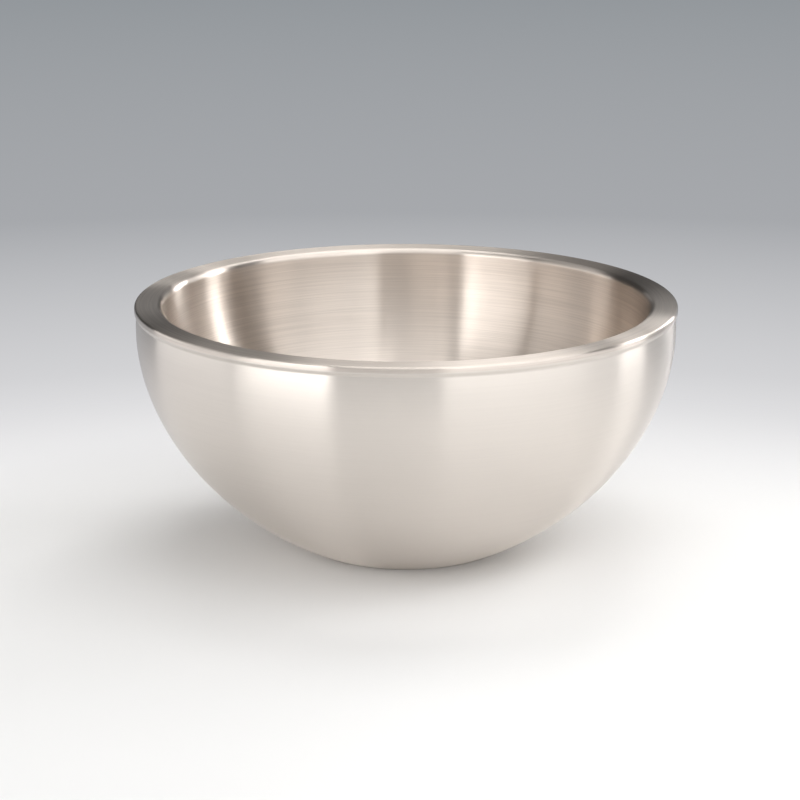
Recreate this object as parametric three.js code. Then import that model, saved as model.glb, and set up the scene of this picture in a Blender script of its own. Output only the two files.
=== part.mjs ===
// A double-walled steel bowl: two drawn shells joined at the rim, with sealed air between them.
// Millimetres and degrees, +Z up, origin at the centre of the base on the standing plane.

import * as THREE from 'three';

// Overall sizes
const rimDiameter = 240;
const bowlHeight = 111;
const baseDiameter = 88;

// Sheet thicknesses, and the clearance left between shaped faces
const innerSheet = 0.8;
const outerSheet = 0.8;
const discSheet = 0.8;
const clearance = 0.3;

// Rim: its width runs from the outer edge to the inner wall, and bends are given inside the sheet
const rimWidth = 12.4;
const foldBend = 2;
const lipBend = 0.3;
const lipStraight = 0.5;
const rimWeldHeight = 1.6;
const rimWeldToe = 0.2;

// Outer wall: it leans out below the mouth, then sweeps in to the base
const mouthLean = 7;
const mouthReach = 40;
const baseSlope = 24;
const baseReach = 55;
const baseEdgeRadius = 3;

// Inner floor, and the air gap below it
const floorDiameter = 60;
const floorGap = 9;

// Base: a standing ring round a raised floor, which the cover disc closes
const standingWidth = 10;
const stepRadius = 1;
const discRise = 0.5;
const dishMargin = 8;
const dishRun = 2.5;
const baseWeldWidth = 1.4;
const baseWeldCrown = 0.25;

// Vent hole and its plug
const ventDiameter = 5;
const plugHeadDiameter = 9;
const plugHeadThickness = 0.6;
const plugStandOut = 0.5;
const plugChamfer = 0.3;

// Facets
const turnSegments = 64;
const plugSegments = 24;
const wallSteps = 13;
const bendSteps = 5;
const smallBendSteps = 3;

const radians = THREE.MathUtils.degToRad;

// Rim and mouth, worked out
const rimRadius = rimDiameter / 2;
const lipRadius = innerSheet + lipBend;
const lipCentreR = rimRadius - lipRadius;
const lipCentreZ = bowlHeight - lipRadius;
const mouthRadius = rimRadius - innerSheet - clearance;
const mouthTop = bowlHeight - innerSheet - clearance - outerSheet;
const lipBottom = mouthTop - lipStraight;
const innerWallRadius = rimRadius - rimWidth;
const foldRadius = innerSheet + foldBend;
const foldCentreR = innerWallRadius + foldRadius;
const foldCentreZ = bowlHeight - foldRadius;

// Base and floors, worked out
const baseRadius = baseDiameter / 2;
const baseEdgeTangent = baseEdgeRadius * Math.tan(radians(baseSlope / 2));
const baseEdgeCentreR = baseRadius - baseEdgeTangent;
const recessRadius = baseRadius - standingWidth;
const discRadius = recessRadius - baseWeldWidth - 2 * clearance;
const dishDepth = plugHeadThickness + clearance;
const recessHeight = discRise + discSheet + dishDepth;
const innerFloorZ = recessHeight + outerSheet + floorGap + innerSheet;
const floorRadius = floorDiameter / 2;

const point = (r, z) => new THREE.Vector2(r, z);
const heading = (angle) => point(Math.cos(radians(angle)), Math.sin(radians(angle)));

// Points along a curve, each moved to the right of its direction by a distance
function along(curve, steps, distance = 0) {
  const points = [];
  for (let i = 0; i <= steps; i += 1) {
    const tangent = curve.getTangent(i / steps);
    const toRight = point(tangent.y, -tangent.x);
    points.push(curve.getPoint(i / steps).addScaledVector(toRight, distance));
  }
  return points;
}

// Points round a bend, between two angles measured from the outward direction
function bend(centreR, centreZ, radius, fromAngle, toAngle, steps) {
  const clockwise = toAngle < fromAngle;
  const from = radians(fromAngle);
  const to = radians(toAngle);
  return new THREE.EllipseCurve(centreR, centreZ, radius, radius, from, to, clockwise).getPoints(steps);
}

// One list of points from several, without the points that repeat where two stretches meet
function outline(...stretches) {
  const apart = 1e-4;
  const points = stretches.flat();
  return points.filter((here, i) => i === 0 || here.distanceTo(points[i - 1]) > apart);
}

const closed = (points) => [...points, points[0].clone()];

// A solid turned about the Z axis from an outline that runs anticlockwise in radius and height
function turned(points, segments = turnSegments) {
  return new THREE.LatheGeometry(points, segments).rotateX(Math.PI / 2);
}

// Outer wall: from the mouth down to the edge of the base
function outerWallCurve() {
  const mouth = point(mouthRadius, mouthTop);
  const foot = point(baseRadius, 0).addScaledVector(heading(baseSlope), baseEdgeTangent);
  const belowMouth = mouth.clone().addScaledVector(heading(mouthLean - 90), mouthReach);
  const aboveFoot = foot.clone().addScaledVector(heading(baseSlope), baseReach);
  return new THREE.CubicBezierCurve(mouth, belowMouth, aboveFoot, foot);
}

// Inner wall: a quarter of an ellipse, from the fold down to the flat floor
function innerWallCurve() {
  const reach = innerWallRadius - floorRadius;
  const depth = foldCentreZ - innerFloorZ;
  return new THREE.EllipseCurve(floorRadius, foldCentreZ, reach, depth, 0, -Math.PI / 2, true);
}

// Inner shell: floor, wall, fold, flat rim and the lip that turns down over the outer shell
function innerBowl() {
  const wall = innerWallCurve();
  const under = [
    point(0, innerFloorZ - innerSheet),
    ...along(wall, wallSteps, -innerSheet).reverse(),
    ...bend(foldCentreR, foldCentreZ, foldBend, 180, 90, bendSteps),
    ...bend(lipCentreR, lipCentreZ, lipBend, 90, 0, smallBendSteps),
    point(rimRadius - innerSheet, lipBottom),
  ];
  const upper = [
    point(rimRadius, lipBottom),
    ...bend(lipCentreR, lipCentreZ, lipRadius, 0, 90, bendSteps),
    ...bend(foldCentreR, foldCentreZ, foldRadius, 90, 180, bendSteps),
    ...along(wall, wallSteps),
    point(0, innerFloorZ),
  ];
  return turned(outline(under, upper));
}

// Outer shell: wall, standing ring, and the floor that steps up round the cover disc
function outerBowl() {
  const wall = outerWallCurve();
  const ventRadius = ventDiameter / 2;
  const wallFacing = baseSlope - 90;
  const edgeInside = baseEdgeRadius - outerSheet;
  const cavitySide = [
    ...along(wall, wallSteps, outerSheet),
    ...bend(baseEdgeCentreR, baseEdgeRadius, edgeInside, wallFacing, -90, smallBendSteps),
    point(recessRadius + outerSheet, outerSheet),
    point(recessRadius + outerSheet, recessHeight + outerSheet),
    point(ventRadius, recessHeight + outerSheet),
  ];
  const outside = [
    point(ventRadius, recessHeight),
    point(recessRadius, recessHeight),
    ...bend(recessRadius + stepRadius, stepRadius, stepRadius, 180, 270, smallBendSteps),
    ...bend(baseEdgeCentreR, baseEdgeRadius, baseEdgeRadius, -90, wallFacing, smallBendSteps),
    ...along(wall, wallSteps).reverse(),
  ];
  const mouthInside = along(wall, 1, outerSheet)[0];
  const mouthEdge = bend(mouthInside.x, mouthInside.y, outerSheet, mouthLean, 90, smallBendSteps);
  return turned(closed(outline(outside, mouthEdge, cavitySide)));
}

// Ground fillet under the lip, from the lip's outer face down to the outer wall
function rimWeld() {
  const slope = Math.tan(radians(mouthLean));
  const wallAt = (z) => mouthRadius + (mouthTop - z) * slope;
  const toeZ = lipBottom - rimWeldHeight;
  const faceTop = point(rimRadius, lipBottom);
  const faceToe = point(wallAt(toeZ) + clearance + rimWeldToe, toeZ);
  const pull = rimWeldHeight / 2;
  const face = new THREE.CubicBezierCurve(
    faceToe,
    point(faceToe.x, faceToe.y + pull),
    point(faceTop.x, faceTop.y - pull),
    faceTop,
  );
  return turned(closed([
    point(wallAt(toeZ) + clearance, toeZ),
    ...face.getPoints(smallBendSteps),
    point(wallAt(lipBottom) + clearance, lipBottom),
  ]));
}

// Cover disc, dished so that its middle clears the plug while its edge meets the raised floor
function baseDisc() {
  const flatR = discRadius - dishMargin;
  const middleR = flatR - dishRun;
  const edgeTop = recessHeight;
  const middleTop = recessHeight - dishDepth;
  return turned([
    point(0, middleTop - discSheet),
    point(middleR, middleTop - discSheet),
    point(flatR, edgeTop - discSheet),
    point(discRadius, edgeTop - discSheet),
    point(discRadius, edgeTop),
    point(flatR, edgeTop),
    point(middleR, middleTop),
    point(0, middleTop),
  ]);
}

// Ring weld in the groove between the cover disc and the step of the outer shell
function baseWeld() {
  const insideR = discRadius + clearance;
  const outsideR = insideR + baseWeldWidth;
  const faceZ = recessHeight - discSheet;
  const crown = new THREE.QuadraticBezierCurve(
    point(insideR, faceZ),
    point((insideR + outsideR) / 2, faceZ - 2 * baseWeldCrown),
    point(outsideR, faceZ),
  );
  return turned(closed([
    ...crown.getPoints(smallBendSteps),
    point(outsideR, recessHeight),
    point(insideR, recessHeight),
  ]));
}

// Plug: a head against the underside of the raised floor and a shank through the vent hole
function ventPlug() {
  const headR = plugHeadDiameter / 2;
  const shankR = ventDiameter / 2 - clearance;
  const headBottom = recessHeight - plugHeadThickness;
  const shankTop = recessHeight + outerSheet + plugStandOut;
  return turned([
    point(0, headBottom),
    point(headR - plugChamfer, headBottom),
    point(headR, headBottom + plugChamfer),
    point(headR, recessHeight),
    point(shankR, recessHeight),
    point(shankR, shankTop - plugChamfer),
    point(shankR - plugChamfer, shankTop),
    point(0, shankTop),
  ], plugSegments);
}

const brushedSteel = new THREE.MeshStandardMaterial({ color: 0xcfc8c0, roughness: 0.3, metalness: 1 });
const liningSteel = new THREE.MeshStandardMaterial({ color: 0xc9c1b7, roughness: 0.34, metalness: 1 });
const groundWeld = new THREE.MeshStandardMaterial({ color: 0xd6d0c9, roughness: 0.26, metalness: 1 });
const baseSteel = new THREE.MeshStandardMaterial({ color: 0xb9b4ad, roughness: 0.42, metalness: 1 });
const rawWeld = new THREE.MeshStandardMaterial({ color: 0xa9a39b, roughness: 0.5, metalness: 1 });
const plugSteel = new THREE.MeshStandardMaterial({ color: 0xb3ada5, roughness: 0.4, metalness: 1 });

// Each piece of the bowl, with its geometry and material
const pieces = [
  ['inner_bowl', innerBowl(), liningSteel],
  ['outer_bowl', outerBowl(), brushedSteel],
  ['rim_weld', rimWeld(), groundWeld],
  ['base_disc', baseDisc(), baseSteel],
  ['base_weld', baseWeld(), rawWeld],
  ['vent_plug', ventPlug(), plugSteel],
];

const bowl = new THREE.Group();
for (const [name, geometry, material] of pieces) {
  const mesh = new THREE.Mesh(geometry, material);
  mesh.name = name;
  bowl.add(mesh);
}

export default bowl;
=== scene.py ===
import math

import bpy
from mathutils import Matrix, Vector

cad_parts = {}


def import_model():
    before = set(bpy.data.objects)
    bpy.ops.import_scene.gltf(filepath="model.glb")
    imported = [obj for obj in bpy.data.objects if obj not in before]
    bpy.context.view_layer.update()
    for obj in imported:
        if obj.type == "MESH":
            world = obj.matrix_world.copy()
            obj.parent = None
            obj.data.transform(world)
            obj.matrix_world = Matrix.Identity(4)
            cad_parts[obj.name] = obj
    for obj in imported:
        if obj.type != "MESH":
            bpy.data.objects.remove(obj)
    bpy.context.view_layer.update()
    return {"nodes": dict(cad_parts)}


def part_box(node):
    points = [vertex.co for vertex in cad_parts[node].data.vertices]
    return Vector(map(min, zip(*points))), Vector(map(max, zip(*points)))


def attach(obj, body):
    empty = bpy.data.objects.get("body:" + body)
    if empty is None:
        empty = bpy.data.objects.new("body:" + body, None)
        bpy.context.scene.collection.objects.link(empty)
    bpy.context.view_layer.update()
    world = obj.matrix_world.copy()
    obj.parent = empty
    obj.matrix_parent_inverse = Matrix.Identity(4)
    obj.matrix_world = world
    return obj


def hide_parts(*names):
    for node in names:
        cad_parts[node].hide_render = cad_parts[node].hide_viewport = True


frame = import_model()

# Sizes in metres and degrees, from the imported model
rim_box_low, rim_box_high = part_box("inner_bowl")
disc_low, disc_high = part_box("base_disc")
bead_low, bead_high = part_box("base_weld")
RIM_RADIUS = rim_box_high.x
BOWL_HEIGHT = rim_box_high.z
RECESS_HEIGHT = disc_high.z

# Rim: its bends are given inside the sheet
SHEET = 0.0008
CLEARANCE = 0.0003
RIM_WIDTH = 0.0124
FOLD_BEND = 0.002
LIP_BEND = 0.0003
LIP_STRAIGHT = 0.0005
RIM_WELD_HEIGHT = 0.0022
FOLD_RADIUS = SHEET + FOLD_BEND
LIP_RADIUS = SHEET + LIP_BEND
MOUTH_TOP = BOWL_HEIGHT - 2 * SHEET - CLEARANCE
LIP_BOTTOM = MOUTH_TOP - LIP_STRAIGHT

# Walls and floors
MOUTH_RADIUS = RIM_RADIUS - SHEET - CLEARANCE
MOUTH_LEAN = 7
MOUTH_REACH = 0.040
BASE_RADIUS = 0.044
BASE_SLOPE = 24
BASE_REACH = 0.055
BASE_EDGE_RADIUS = 0.003
BASE_EDGE_TANGENT = BASE_EDGE_RADIUS * math.tan(math.radians(BASE_SLOPE / 2))
FLOOR_RADIUS = 0.030
INNER_FLOOR = rim_box_low.z + SHEET
INNER_WALL_RADIUS = RIM_RADIUS - RIM_WIDTH

# Base
STANDING_WIDTH = 0.010
STEP_RADIUS = 0.001
VENT_RADIUS = 0.0025
DISH_MARGIN = 0.008
DISH_RUN = 0.0025
BEAD_RIPPLES = 96
BEAD_RIPPLE_HEIGHT = 0.00012

# Mesh steps, and how near to the axis a point counts as on it
TURN_STEPS = 288
WALL_STEPS = 72
SEARCH_STEPS = 4 * WALL_STEPS
BEND_STEPS = 14
SHARP_ANGLE = 40
AXIS_GUARD = 0.00001

# Brush marks: the streaks that show one by one, and the fine grooves between them
STREAK_LENGTH = 0.060
STREAK_WIDTH = 0.0007
STREAK_DETAIL = 1.0
GROOVE_LENGTH = 0.090
GROOVE_WIDTH = 0.0005
GROOVE_DETAIL = 0.0
MARK_ROUGHNESS = 0.6

# Range that most values of a noise fall in
NOISE_LOW = 0.3
NOISE_HIGH = 0.7

# Turn that spreads a highlight across the marks
QUARTER_TURN = 0.25

# Flat of the rim: duller than the walls, with a blend down the bends beside it
RIM_DULLNESS = 0.06
RIM_BLEND = 0.0006

# Marks of use: soft smudges all over, and scuffs where the base stands on a table
SMUDGE_SIZE = 0.035
SMUDGE_DETAIL = 2.0
SMUDGE_DULLNESS = 0.01
SCUFF_HEIGHT = 0.0008
SCUFF_SIZE = 0.0012
SCUFF_DETAIL = 3.0
SCUFF_TONE = (0.44, 0.42, 0.40)
SCUFF_DULLNESS = 0.25

# Raw weld: tints from straw to blue, and the scale on the bead
RAW_ROUGHNESS = 0.45
RAW_SPREAD = 0.1
TINT_SIZE = 0.006
TINT_DETAIL = 2.0
SCALE_SIZE = 0.0005
SCALE_DETAIL = 3.0
SCALE_DEPTH = 0.00004
HEAT_TINTS = [
    (0.34, (0.34, 0.30, 0.26)),
    (0.48, (0.50, 0.41, 0.28)),
    (0.58, (0.42, 0.33, 0.32)),
    (0.70, (0.30, 0.33, 0.42)),
]

# Brushed steels: dark and light tone, roughness and its spread, anisotropy and depth of the grooves
BRUSHED_STEELS = {
    "lining_steel": ((0.65, 0.588, 0.537), (0.75, 0.679, 0.619), 0.281, 0.005, 1.0, 0.000016),
    "brushed_steel": ((0.758, 0.705, 0.656), (0.773, 0.719, 0.669), 0.285, 0.004, 1.0, 0.000002),
    "ground_weld": ((0.72, 0.67, 0.623), (0.755, 0.703, 0.653), 0.29, 0.006, 1.0, 0.000002),
    "base_steel": ((0.50, 0.48, 0.455), (0.60, 0.575, 0.545), 0.38, 0.06, 0.8, 0.00001),
    "plug_steel": ((0.49, 0.465, 0.435), (0.56, 0.53, 0.50), 0.36, 0.04, 0.6, 0.00001),
}

# Floor: white paper round the bowl, which the camera sees run out into a grey backdrop
PAPER = (0.86, 0.86, 0.86)
PAPER_RADIUS = 8.0
PAPER_OPENING = BASE_RADIUS - BASE_EDGE_TANGENT - CLEARANCE
PAPER_STEPS = 96
BACKDROP_CENTRE = (0, -0.3, 0)
BACKDROP_FADE = (0.34, 0.56)
BACKDROP_REACH = 2.5
BACKDROP_STOPS = [
    (0.36, (0.97, 0.96, 0.965)),
    (0.62, (0.65, 0.65, 0.665)),
    (1.05, (0.385, 0.395, 0.415)),
    (2.3, (0.295, 0.315, 0.335)),
]

# Studio round the bowl, as the steel sees it
ROOM = (0.05, 0.05, 0.05)

# Lamps: spans of azimuth and elevation, distance, and radiance at the two ends of the azimuth span
LAMP_COLOUR = (1.0, 0.995, 0.985)
LAMPS = [
    ("key_strip", (106, 114.5), (6, 28), 2.0, (9.0, 9.0)),
    ("thin_strip", (140.5, 145.5), (4, 26), 2.0, (15.0, 15.0)),
    ("edge_strip", (95, 103.5), (-4, 4), 2.0, (7.0, 7.0)),
    ("back_right", (114.5, 138), (8, 22), 1.4, (0.8, 0.6)),
    ("back_right_high", (114, 138), (22, 40), 1.4, (3.2, 3.0)),
    ("back_mid", (147, 160), (8, 22), 1.4, (0.2, 0.3)),
    ("back_mid_high", (147, 170), (22, 40), 1.4, (0.1, 0.7)),
    ("back_high", (147, 180), (40, 60), 1.4, (5.2, 0.1)),
    ("rim_right", (160, 170), (11, 19), 1.4, (0.65, 0.65)),
    ("rim_left", (182, 198), (11, 19), 1.4, (0.32, 0.32)),
    ("right_panel", (14, 92), (8, 22), 1.0, (4.0, 0.0)),
    ("right_low", (14, 93), (-4, 8), 1.0, (0.1, 2.2)),
    ("right_mid", (35, 91), (22, 40), 1.0, (0.2, 0.2)),
    ("right_high", (14, 91), (40, 60), 1.0, (2.6, 3.5)),
    ("left_low", (-72, -30), (-4, 5), 1.5, (4.8, 2.6)),
    ("left_panel", (-67, -36), (6, 22), 1.5, (2.0, 4.1)),
    ("left_strip", (-36, -30), (6, 22), 1.5, (5.0, 5.0)),
    ("left_high", (-67, -30), (22, 40), 1.5, (1.0, 1.9)),
    ("far_left_panel", (-122, -72), (-4, 22), 1.0, (1.4, 1.2)),
    ("far_left_high", (-122, -72), (22, 40), 1.0, (0.4, 0.8)),
    ("front_low", (-30, 14), (-4, 5), 1.5, (0.6, 0.5)),
    ("front_panel", (-30, 14), (8, 22), 1.5, (0.25, 0.15)),
    ("front_high", (-30, 14), (22, 60), 1.5, (1.0, 1.1)),
    ("left_back_high", (-162, -122), (40, 60), 1.4, (0.65, 0.65)),
    ("overhead_front", (-45, 45), (60, 84), 1.2, (1.5, 1.5)),
    ("overhead_back", (135, 225), (60, 84), 1.2, (3.0, 3.0)),
    ("under_front", (-45, 45), (-70, -20), 0.6, (1.2, 1.2)),
    ("under_back", (135, 225), (-70, -20), 0.6, (1.2, 1.2)),
]

# Photograph: camera place and lens, found from the rim and wall outlines
CAMERA_DISTANCE = 1.2
CAMERA_HEIGHT = 0.3913
CAMERA_SIDE = -0.00265
CAMERA_PITCH = 15.21
CAMERA_LENS = 125.1
SENSOR_WIDTH = 36
CAMERA_REACH = 100


def heading(angle):
    """A unit step in radius and height, at an angle from the outward direction."""
    return Vector((math.cos(math.radians(angle)), math.sin(math.radians(angle))))


def bend(centre_r, centre_z, radius, start, end, steps=BEND_STEPS):
    """Points round a bend, between two angles measured from the outward direction."""
    centre = Vector((centre_r, centre_z))
    return [centre + radius * heading(start + (end - start) * i / steps) for i in range(steps + 1)]


def swept(curve, steps, distance=0.0):
    """Points along a curve given as point(t), each moved to the right of its direction."""
    nudge = 1e-4
    points = []
    for i in range(steps + 1):
        t = i / steps
        ahead = curve(min(t + nudge, 1)) - curve(max(t - nudge, 0))
        ahead.normalize()
        points.append(curve(t) + distance * Vector((ahead.y, -ahead.x)))
    return points


def bezier(start, start_pull, end_pull, end):
    def point(t):
        u = 1 - t
        return u**3 * start + 3 * u * u * t * start_pull + 3 * u * t * t * end_pull + t**3 * end
    return point


def outer_wall():
    mouth = Vector((MOUTH_RADIUS, MOUTH_TOP))
    foot = Vector((BASE_RADIUS, 0)) + BASE_EDGE_TANGENT * heading(BASE_SLOPE)
    below_mouth = mouth + MOUTH_REACH * heading(MOUTH_LEAN - 90)
    above_foot = foot + BASE_REACH * heading(BASE_SLOPE)
    return bezier(mouth, below_mouth, above_foot, foot)


def inner_wall():
    reach = INNER_WALL_RADIUS - FLOOR_RADIUS
    top = BOWL_HEIGHT - FOLD_RADIUS
    depth = top - INNER_FLOOR

    def point(t):
        angle = t * math.pi / 2
        return Vector((FLOOR_RADIUS + reach * math.cos(angle), top - depth * math.sin(angle)))
    return point


def without_repeats(points):
    apart = 1e-7
    kept = [points[0]]
    for p in points[1:]:
        if (p - kept[-1]).length > apart:
            kept.append(p)
    return kept


def turned(name, outline, closed, shape=None):
    """A smooth mesh turned about Z from an outline that runs anticlockwise in radius and height."""
    outline = without_repeats(outline)
    vertices = []
    rings = []
    for p in outline:
        if p.x < AXIS_GUARD:
            rings.append([len(vertices)] * TURN_STEPS)
            vertices.append((0, 0, p.y))
            continue
        rings.append(list(range(len(vertices), len(vertices) + TURN_STEPS)))
        for i in range(TURN_STEPS):
            angle = 2 * math.pi * i / TURN_STEPS
            r, z = shape(angle, p) if shape else (p.x, p.y)
            vertices.append((r * math.cos(angle), r * math.sin(angle), z))
    faces = []
    pairs = list(zip(rings, rings[1:]))
    if closed:
        pairs.append((rings[-1], rings[0]))
    for low, high in pairs:
        for i in range(TURN_STEPS):
            j = (i + 1) % TURN_STEPS
            corners = [low[i], low[j], high[j], high[i]]
            faces.append(list(dict.fromkeys(corners)))
    mesh = bpy.data.meshes.new(name)
    mesh.from_pydata(vertices, [], faces)
    mesh.validate()
    mesh.shade_smooth()
    mesh.set_sharp_from_angle(angle=math.radians(SHARP_ANGLE))
    piece = bpy.data.objects.new(name, mesh)
    bpy.context.scene.collection.objects.link(piece)
    return piece


def inner_bowl():
    lip = (RIM_RADIUS - LIP_RADIUS, BOWL_HEIGHT - LIP_RADIUS)
    fold = (INNER_WALL_RADIUS + FOLD_RADIUS, BOWL_HEIGHT - FOLD_RADIUS)
    wall = inner_wall()
    under = [
        Vector((0, INNER_FLOOR - SHEET)),
        *reversed(swept(wall, WALL_STEPS, -SHEET)),
        *bend(*fold, FOLD_BEND, 180, 90),
        *bend(*lip, LIP_BEND, 90, 0),
        Vector((RIM_RADIUS - SHEET, LIP_BOTTOM)),
    ]
    upper = [
        Vector((RIM_RADIUS, LIP_BOTTOM)),
        *bend(*lip, LIP_RADIUS, 0, 90),
        *bend(*fold, FOLD_RADIUS, 90, 180),
        *swept(wall, WALL_STEPS),
        Vector((0, INNER_FLOOR)),
    ]
    return turned("inner_shell", under + upper, closed=False)


def outer_bowl():
    wall = outer_wall()
    recess = BASE_RADIUS - STANDING_WIDTH
    edge = (BASE_RADIUS - BASE_EDGE_TANGENT, BASE_EDGE_RADIUS)
    facing = BASE_SLOPE - 90
    outside = [
        Vector((VENT_RADIUS, RECESS_HEIGHT)),
        Vector((recess, RECESS_HEIGHT)),
        *bend(recess + STEP_RADIUS, STEP_RADIUS, STEP_RADIUS, 180, 270),
        *bend(*edge, BASE_EDGE_RADIUS, -90, facing),
        *reversed(swept(wall, WALL_STEPS)),
    ]
    cavity_side = [
        *swept(wall, WALL_STEPS, SHEET),
        *bend(*edge, BASE_EDGE_RADIUS - SHEET, facing, -90),
        Vector((recess + SHEET, SHEET)),
        Vector((recess + SHEET, RECESS_HEIGHT + SHEET)),
        Vector((VENT_RADIUS, RECESS_HEIGHT + SHEET)),
    ]
    return turned("outer_shell", outside + cavity_side, closed=True)


def rim_weld():
    """The ground fillet: it runs on from the lip's face and dies away on the wall."""
    wall = outer_wall()
    slope = math.tan(math.radians(MOUTH_LEAN))
    toe_z = LIP_BOTTOM - RIM_WELD_HEIGHT
    sunk = SHEET / 2
    toe = min(swept(wall, SEARCH_STEPS), key=lambda p: abs(p.y - toe_z))
    top = Vector((RIM_RADIUS, LIP_BOTTOM))
    pull = RIM_WELD_HEIGHT / 2
    toe_pull = toe + pull * heading(90 + MOUTH_LEAN)
    face = bezier(toe, toe_pull, top - Vector((0, pull)), top)
    inside_top = Vector((MOUTH_RADIUS + (MOUTH_TOP - LIP_BOTTOM) * slope - sunk, LIP_BOTTOM))
    inside_toe = toe - Vector((sunk, 0))
    return turned("rim_weld_fillet", [inside_toe, *swept(face, BEND_STEPS), inside_top], closed=True)


def base_disc():
    flat = disc_high.x - DISH_MARGIN
    middle = flat - DISH_RUN
    top = disc_high.z
    bottom = disc_low.z
    easing = DISH_RUN / 2
    dish_under = bezier(
        Vector((middle, bottom)),
        Vector((middle + easing, bottom)),
        Vector((flat - easing, top - SHEET)),
        Vector((flat, top - SHEET)),
    )
    dish_over = bezier(
        Vector((flat, top)),
        Vector((flat - easing, top)),
        Vector((middle + easing, bottom + SHEET)),
        Vector((middle, bottom + SHEET)),
    )
    outline = [
        Vector((0, bottom)),
        *swept(dish_under, BEND_STEPS),
        Vector((disc_high.x, top - SHEET)),
        Vector((disc_high.x, top)),
        *swept(dish_over, BEND_STEPS),
        Vector((0, bottom + SHEET)),
    ]
    return turned("base_cover", outline, closed=False)


def base_weld():
    """The bead, with the ripples that a weld leaves as it goes round."""
    inside = disc_high.x - CLEARANCE
    outside = bead_high.x + CLEARANCE
    face_z = disc_high.z - SHEET
    crown = 2 * (face_z - bead_low.z)
    third = (outside - inside) / 3
    face = bezier(
        Vector((inside, face_z)),
        Vector((inside + third, face_z - crown)),
        Vector((outside - third, face_z - crown)),
        Vector((outside, face_z)),
    )

    def rippled(angle, p):
        depth = max(0.0, face_z - p.y) / crown
        wave = abs(math.sin(BEAD_RIPPLES * angle / 2))
        return p.x, p.y - BEAD_RIPPLE_HEIGHT * wave * depth
    outline = [*swept(face, BEND_STEPS), Vector((outside, disc_high.z)), Vector((inside, disc_high.z))]
    return turned("base_weld_bead", outline, closed=True, shape=rippled)


def new_material(name):
    material = bpy.data.materials.new(name)
    material.use_nodes = True
    material.node_tree.nodes.clear()
    return material, material.node_tree


def add_node(tree, kind, settings=None, values=None):
    node = tree.nodes.new(kind)
    for key, value in (settings or {}).items():
        setattr(node, key, value)
    for key, value in (values or {}).items():
        node.inputs[key].default_value = value
    return node


def math_node(tree, operation, first, second=None):
    node = add_node(tree, "ShaderNodeMath", {"operation": operation})
    for socket, value in zip(node.inputs, (first, second)):
        if isinstance(value, (int, float)):
            socket.default_value = value
        elif value is not None:
            tree.links.new(value, socket)
    return node.outputs["Value"]


def brush_lines(tree, length, width, detail):
    """Noise drawn out round the axis: its marks are that long and that wide."""
    place = add_node(tree, "ShaderNodeTexCoord")
    split = add_node(tree, "ShaderNodeSeparateXYZ")
    tree.links.new(place.outputs["Object"], split.inputs["Vector"])
    x, y, z = split.outputs
    squares = math_node(tree, "ADD", math_node(tree, "MULTIPLY", x, x), math_node(tree, "MULTIPLY", y, y))
    radius = math_node(tree, "MAXIMUM", math_node(tree, "SQRT", squares), AXIS_GUARD)
    join = add_node(tree, "ShaderNodeCombineXYZ")
    for level, socket in ((x, "X"), (y, "Y")):
        direction = math_node(tree, "DIVIDE", level, radius)
        tree.links.new(math_node(tree, "MULTIPLY", direction, RIM_RADIUS / length), join.inputs[socket])
    across = math_node(tree, "ADD", radius, z)
    tree.links.new(math_node(tree, "DIVIDE", across, width), join.inputs["Z"])
    noise = add_node(tree, "ShaderNodeTexNoise", values={
        "Scale": 1.0, "Detail": detail, "Roughness": MARK_ROUGHNESS})
    tree.links.new(join.outputs["Vector"], noise.inputs["Vector"])
    return noise.outputs["Fac"]


def ranged(tree, value, low, high):
    """A noise value spread between two levels."""
    levels = {"From Min": NOISE_LOW, "From Max": NOISE_HIGH, "To Min": low, "To Max": high}
    node = add_node(tree, "ShaderNodeMapRange", values=levels)
    tree.links.new(value, node.inputs["Value"])
    return node.outputs["Result"]


def blotches(tree, size, detail):
    """Plain noise with spots of about that size."""
    place = add_node(tree, "ShaderNodeTexCoord")
    noise = add_node(tree, "ShaderNodeTexNoise", values={"Scale": 1 / size, "Detail": detail})
    tree.links.new(place.outputs["Object"], noise.inputs["Vector"])
    return noise.outputs["Fac"]


def rising(tree, low, high):
    """0 at one height, rising or falling to 1 at another."""
    place = add_node(tree, "ShaderNodeTexCoord")
    split = add_node(tree, "ShaderNodeSeparateXYZ")
    tree.links.new(place.outputs["Object"], split.inputs["Vector"])
    node = add_node(tree, "ShaderNodeMapRange", values={"From Min": low, "From Max": high})
    tree.links.new(split.outputs["Z"], node.inputs["Value"])
    return node.outputs["Result"]


def colour_mix(tree, factor, first, second):
    mix = add_node(tree, "ShaderNodeMix", {"data_type": "RGBA"})
    tree.links.new(factor, mix.inputs["Factor"])
    for socket, value in ((mix.inputs["A"], first), (mix.inputs["B"], second)):
        if isinstance(value, tuple):
            socket.default_value = (*value, 1)
        else:
            tree.links.new(value, socket)
    return mix.outputs["Result"]


def colour_ramp(tree, value, stops):
    node = add_node(tree, "ShaderNodeValToRGB")
    ramp = node.color_ramp
    while len(ramp.elements) < len(stops):
        ramp.elements.new(1.0)
    for element, (position, colour) in zip(ramp.elements, stops):
        element.position = position
        element.color = (*colour, 1)
    tree.links.new(value, node.inputs["Fac"])
    return node.outputs["Color"]


def bare_metal(name, anisotropy):
    """A metal whose highlights spread across the brush marks that run round the axis."""
    material, tree = new_material(name)
    out = add_node(tree, "ShaderNodeOutputMaterial")
    shader = add_node(tree, "ShaderNodeBsdfPrincipled", values={
        "Metallic": 1.0, "Anisotropic": anisotropy, "Anisotropic Rotation": QUARTER_TURN})
    tree.links.new(shader.outputs["BSDF"], out.inputs["Surface"])
    tangent = add_node(tree, "ShaderNodeTangent", {"direction_type": "RADIAL", "axis": "Z"})
    tree.links.new(tangent.outputs["Tangent"], shader.inputs["Tangent"])
    return material, tree, shader


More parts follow.
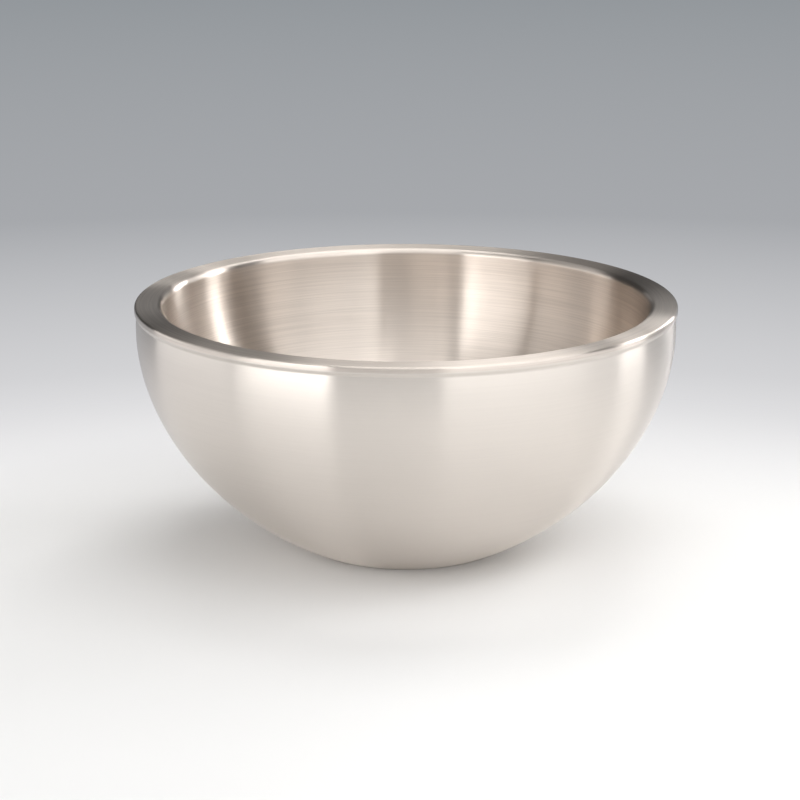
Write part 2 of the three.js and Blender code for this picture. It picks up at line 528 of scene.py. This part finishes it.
def add_relief(tree, shader, height, depth):
    relief = add_node(tree, "ShaderNodeBump", values={"Strength": 1.0, "Distance": depth})
    tree.links.new(height, relief.inputs["Height"])
    tree.links.new(relief.outputs["Normal"], shader.inputs["Normal"])


def brushed_steel(name, dark, light, roughness, spread, anisotropy, depth):
    """Steel brushed round the axis: streaks vary its tone and gloss, hands and tables mark it."""
    material, tree, shader = bare_metal(name, anisotropy)
    streaks = brush_lines(tree, STREAK_LENGTH, STREAK_WIDTH, STREAK_DETAIL)
    tone = colour_mix(tree, ranged(tree, streaks, 0, 1), dark, light)
    gloss = ranged(tree, streaks, roughness + spread, roughness - spread)
    smudge = ranged(tree, blotches(tree, SMUDGE_SIZE, SMUDGE_DETAIL), 0, SMUDGE_DULLNESS)
    gloss = math_node(tree, "ADD", gloss, smudge)
    rim = rising(tree, BOWL_HEIGHT - RIM_BLEND, BOWL_HEIGHT)
    gloss = math_node(tree, "ADD", gloss, math_node(tree, "MULTIPLY", rim, RIM_DULLNESS))
    rubbed = ranged(tree, blotches(tree, SCUFF_SIZE, SCUFF_DETAIL), 0, 1)
    scuff = math_node(tree, "MULTIPLY", rising(tree, SCUFF_HEIGHT, 0), rubbed)
    tone = colour_mix(tree, scuff, tone, SCUFF_TONE)
    gloss = math_node(tree, "ADD", gloss, math_node(tree, "MULTIPLY", scuff, SCUFF_DULLNESS))
    tree.links.new(tone, shader.inputs["Base Color"])
    tree.links.new(gloss, shader.inputs["Roughness"])
    add_relief(tree, shader, brush_lines(tree, GROOVE_LENGTH, GROOVE_WIDTH, GROOVE_DETAIL), depth)
    return material


def welded_steel(name):
    """A bead as it was welded: scaly, with the straw and blue tints that heat leaves."""
    material, tree, shader = bare_metal(name, anisotropy=0.0)
    tint = colour_ramp(tree, blotches(tree, TINT_SIZE, TINT_DETAIL), HEAT_TINTS)
    tree.links.new(tint, shader.inputs["Base Color"])
    scale = blotches(tree, SCALE_SIZE, SCALE_DETAIL)
    gloss = ranged(tree, scale, RAW_ROUGHNESS - RAW_SPREAD, RAW_ROUGHNESS + RAW_SPREAD)
    tree.links.new(gloss, shader.inputs["Roughness"])
    add_relief(tree, shader, scale, SCALE_DEPTH)
    return material


def any_of(tree, *values):
    """The largest of several values between 0 and 1."""
    largest = values[0]
    for value in values[1:]:
        largest = math_node(tree, "MAXIMUM", largest, value)
    return largest


def shader_mix(tree, factor, first, second):
    mix = add_node(tree, "ShaderNodeMixShader")
    tree.links.new(factor, mix.inputs["Fac"])
    tree.links.new(first, mix.inputs[1])
    tree.links.new(second, mix.inputs[2])
    return mix.outputs["Shader"]


def floor_paper():
    """White paper that fades into the backdrop where it is seen, and is clear to a camera below it."""
    material, tree = new_material("floor_paper")
    out = add_node(tree, "ShaderNodeOutputMaterial")
    paper = add_node(tree, "ShaderNodeBsdfDiffuse", values={"Color": (*PAPER, 1)})
    place = add_node(tree, "ShaderNodeTexCoord")
    reach = add_node(tree, "ShaderNodeVectorMath", {"operation": "DISTANCE"})
    reach.inputs[1].default_value = BACKDROP_CENTRE
    tree.links.new(place.outputs["Object"], reach.inputs[0])
    distance = reach.outputs["Value"]
    fade = add_node(tree, "ShaderNodeMapRange", {"interpolation_type": "SMOOTHSTEP"}, {
        "From Min": BACKDROP_FADE[0], "From Max": BACKDROP_FADE[1]})
    tree.links.new(distance, fade.inputs["Value"])
    path = add_node(tree, "ShaderNodeLightPath").outputs
    seen = any_of(tree, path["Is Camera Ray"], path["Is Glossy Ray"], path["Is Transmission Ray"])
    shown = math_node(tree, "MULTIPLY", seen, fade.outputs["Result"])
    backdrop = add_node(tree, "ShaderNodeEmission")
    stops = [(reached / BACKDROP_REACH, colour) for reached, colour in BACKDROP_STOPS]
    share = math_node(tree, "DIVIDE", distance, BACKDROP_REACH)
    tree.links.new(colour_ramp(tree, share, stops), backdrop.inputs["Color"])
    front = shader_mix(tree, shown, paper.outputs["BSDF"], backdrop.outputs["Emission"])
    clear = add_node(tree, "ShaderNodeBsdfTransparent")
    face = add_node(tree, "ShaderNodeNewGeometry")
    from_below = math_node(tree, "MULTIPLY", face.outputs["Backfacing"], path["Is Camera Ray"])
    both = shader_mix(tree, from_below, front, clear.outputs["BSDF"])
    tree.links.new(both, out.inputs["Surface"])
    return material


def floor():
    """A ring of paper, open under the base."""
    vertices = []
    faces = []
    for i in range(PAPER_STEPS):
        direction = heading(360 * i / PAPER_STEPS)
        vertices += [(*(radius * direction), 0) for radius in (PAPER_OPENING, PAPER_RADIUS)]
        here = 2 * i
        there = 2 * ((i + 1) % PAPER_STEPS)
        faces.append((here, here + 1, there + 1, there))
    mesh = bpy.data.meshes.new("floor")
    mesh.from_pydata(vertices, [], faces)
    mesh.materials.append(floor_paper())
    plane = bpy.data.objects.new("floor", mesh)
    bpy.context.scene.collection.objects.link(plane)


def softbox(name, side, height, distance, radiance):
    """A soft lamp that fills a span of azimuth and a span of elevation as seen from the bowl.

    Azimuth 0 is the camera's side and 90 its right. The radiance runs from the first azimuth's
    to the second's.
    """
    azimuth = math.radians(sum(side) / 2)
    elevation = math.radians(sum(height) / 2)
    half_side = math.radians(side[1] - side[0]) / 2
    half_height = math.radians(height[1] - height[0]) / 2
    lamp = bpy.data.lights.new(name, "AREA")
    lamp.shape = "RECTANGLE"
    lamp.size = 2 * distance * math.cos(elevation) * math.tan(half_side)
    lamp.size_y = 2 * distance * math.tan(half_height)
    lamp.energy = math.pi * lamp.size * lamp.size_y
    lamp.color = LAMP_COLOUR
    lamp.use_nodes = True
    tree = lamp.node_tree
    place = add_node(tree, "ShaderNodeNewGeometry")
    split = add_node(tree, "ShaderNodeSeparateXYZ")
    tree.links.new(place.outputs["Parametric"], split.inputs["Vector"])
    shade = add_node(tree, "ShaderNodeMapRange", values={"To Min": radiance[0], "To Max": radiance[1]})
    tree.links.new(split.outputs["X"], shade.inputs["Value"])
    tree.links.new(shade.outputs["Result"], tree.nodes["Emission"].inputs["Strength"])
    box = bpy.data.objects.new(name, lamp)
    bpy.context.scene.collection.objects.link(box)
    level = math.cos(elevation)
    away = Vector((math.sin(azimuth) * level, -math.cos(azimuth) * level, math.sin(elevation)))
    box.location = Vector((0, 0, BOWL_HEIGHT / 2)) + distance * away
    box.rotation_mode = "QUATERNION"
    box.rotation_quaternion = (-away).to_track_quat("-Z", "Y")
    box.visible_camera = False


def world():
    """The dim studio round the bowl, which the camera sees as the end of the backdrop."""
    surround = bpy.data.worlds.new("surround")
    bpy.context.scene.world = surround
    surround.use_nodes = True
    tree = surround.node_tree
    tree.nodes.clear()
    out = add_node(tree, "ShaderNodeOutputWorld")
    glow = add_node(tree, "ShaderNodeBackground")
    path = add_node(tree, "ShaderNodeLightPath")
    backdrop = BACKDROP_STOPS[-1][1]
    tone = colour_mix(tree, path.outputs["Is Camera Ray"], ROOM, backdrop)
    tree.links.new(tone, glow.inputs["Color"])
    tree.links.new(glow.outputs["Background"], out.inputs["Surface"])


def camera():
    data = bpy.data.cameras.new("camera")
    data.sensor_width = SENSOR_WIDTH
    data.lens = CAMERA_LENS
    data.clip_end = CAMERA_REACH
    view = bpy.data.objects.new("camera", data)
    bpy.context.scene.collection.objects.link(view)
    view.location = (CAMERA_SIDE, -CAMERA_DISTANCE, CAMERA_HEIGHT)
    view.rotation_euler = (math.radians(90 - CAMERA_PITCH), 0, 0)
    bpy.context.scene.camera = view


STEELS = {name: brushed_steel(name, *values) for name, values in BRUSHED_STEELS.items()}
STEELS["raw_weld"] = welded_steel("raw_weld")

# Pieces, the nodes they stand for and the steel they are made of
PIECES = [
    (inner_bowl(), "inner_bowl", "lining_steel"),
    (outer_bowl(), "outer_bowl", "brushed_steel"),
    (rim_weld(), "rim_weld", "ground_weld"),
    (base_disc(), "base_disc", "base_steel"),
    (base_weld(), "base_weld", "raw_weld"),
]
for piece, node, steel in PIECES:
    piece.data.materials.append(STEELS[steel])
    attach(piece, "root")
    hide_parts(node)
plug = frame["nodes"]["vent_plug"]
plug.data.materials.clear()
plug.data.materials.append(STEELS["plug_steel"])

# Floor, room, camera and lamps
floor()
world()
camera()
for lamp in LAMPS:
    softbox(*lamp)
bpy.context.scene.view_settings.view_transform = "Standard"
